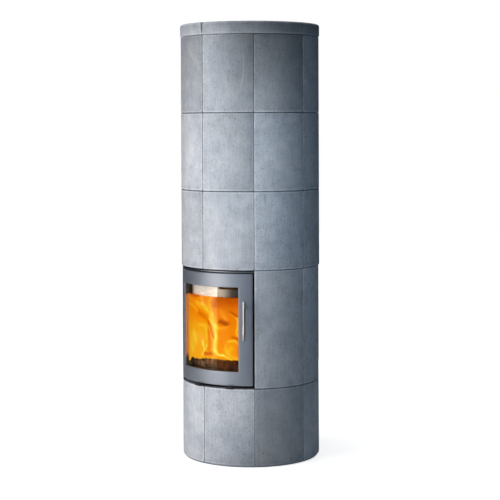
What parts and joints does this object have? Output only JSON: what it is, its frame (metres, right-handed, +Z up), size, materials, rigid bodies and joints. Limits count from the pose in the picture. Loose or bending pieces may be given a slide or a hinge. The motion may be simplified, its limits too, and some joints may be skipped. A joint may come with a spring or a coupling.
{
  "type": "wood stove",
  "caption": "Tall round wood stove clad in curved stone segments, with a curved glazed door, lever handle, air slides and a heat-storage core.",
  "frame": {"origin": "middle of the underside of the base plate, on the floor", "axes": "+Z up, the door faces -Y, +X is on the right when facing the door"},
  "size_m": [0.576, 0.5991, 1.772],
  "materials": {
    "stone": "honed soapstone, blue-grey, with fine pale veining",
    "storage_stone": "rough sawn",
    "vermiculite": "pressed board, sooty",
    "black_steel": "matt black heat-proof paint",
    "door_paint": "satin metallic grey heat-proof paint",
    "stainless": "brushed stainless",
    "pin_steel": "turned steel",
    "sheet_steel": "zinc-grey sheet, ash-dusted",
    "cast_iron": "as-cast, burnt dark",
    "fire_glass": "clear ceramic glass",
    "rope": "braided glass-fibre rope and tape, dark grey",
    "bark": "split log, charred"
  },
  "bodies": {
    "stove": {"air_wash_deflector": "stainless", "ash_pan": "sheet_steel", "baffle_plate": "vermiculite", "base_plate": "black_steel", "base_stone_left_1": "stone", "base_stone_left_2": "stone", "base_stone_left_3": "stone", "base_stone_right_1": "stone", "base_stone_right_2": "stone", "base_stone_right_3": "stone", "cornice_left": "stone", "cornice_right": "stone", "door_lintel": "stainless", "door_stone_left_1": "stone", "door_stone_left_2": "stone", "door_stone_right_1": "stone", "door_stone_right_2": "stone", "fire_grate": "cast_iron", "firebox_body": "black_steel", "flue_collar": "black_steel", "flue_riser": "black_steel", "hearth_floor": "vermiculite", "hinge_pin_bottom": "pin_steel", "hinge_pin_top": "pin_steel", "lining_back": "vermiculite", "lining_left": "vermiculite", "lining_right": "vermiculite", "log_front": "bark", "log_rear": "bark", "rear_cover": "black_steel", "storage_core_lower": "storage_stone", "storage_core_upper": "storage_stone", "upper_stone_1_left_1": "stone", "upper_stone_1_left_2": "stone", "upper_stone_1_left_3": "stone", "upper_stone_1_right_1": "stone", "upper_stone_1_right_2": "stone", "upper_stone_1_right_3": "stone", "upper_stone_2_left_1": "stone", "upper_stone_2_left_2": "stone", "upper_stone_2_left_3": "stone", "upper_stone_2_right_1": "stone", "upper_stone_2_right_2": "stone", "upper_stone_2_right_3": "stone", "upper_stone_3_left_1": "stone", "upper_stone_3_left_2": "stone", "upper_stone_3_left_3": "stone", "upper_stone_3_right_1": "stone", "upper_stone_3_right_2": "stone", "upper_stone_3_right_3": "stone"},
    "door": {"door_frame": "door_paint", "door_glass": "fire_glass", "glass_gasket": "rope", "glass_clamp": "black_steel", "door_rope": "rope"},
    "handle": {"handle_grip": "stainless", "handle_spindle": "pin_steel", "latch_hook": "cast_iron"},
    "primary_air": {"primary_air_slide": "black_steel"},
    "secondary_air": {"secondary_air_slide": "black_steel"}
  },
  "joints": [
    {"name": "door_swing", "type": "hinge", "parent": "stove", "child": "door", "pos_m": [-0.17952, -0.20434, 0.547], "axis": [0, 0, -1], "range_deg": [0, 110]},
    {"name": "handle_turn", "type": "hinge", "parent": "door", "child": "handle", "pos_m": [0.16971, -0.22521, 0.638], "axis": [-0.6018, 0.7986, 0], "range_deg": [0, 90]},
    {"name": "primary_air_turn", "type": "hinge", "parent": "stove", "child": "primary_air", "pos_m": [0, 0, 0.3206], "axis": [0, 0, 1], "range_deg": [-14, 6]},
    {"name": "secondary_air_turn", "type": "hinge", "parent": "stove", "child": "secondary_air", "pos_m": [0, 0, 0.3206], "axis": [0, 0, 1], "range_deg": [-9, 9]}
  ]
}
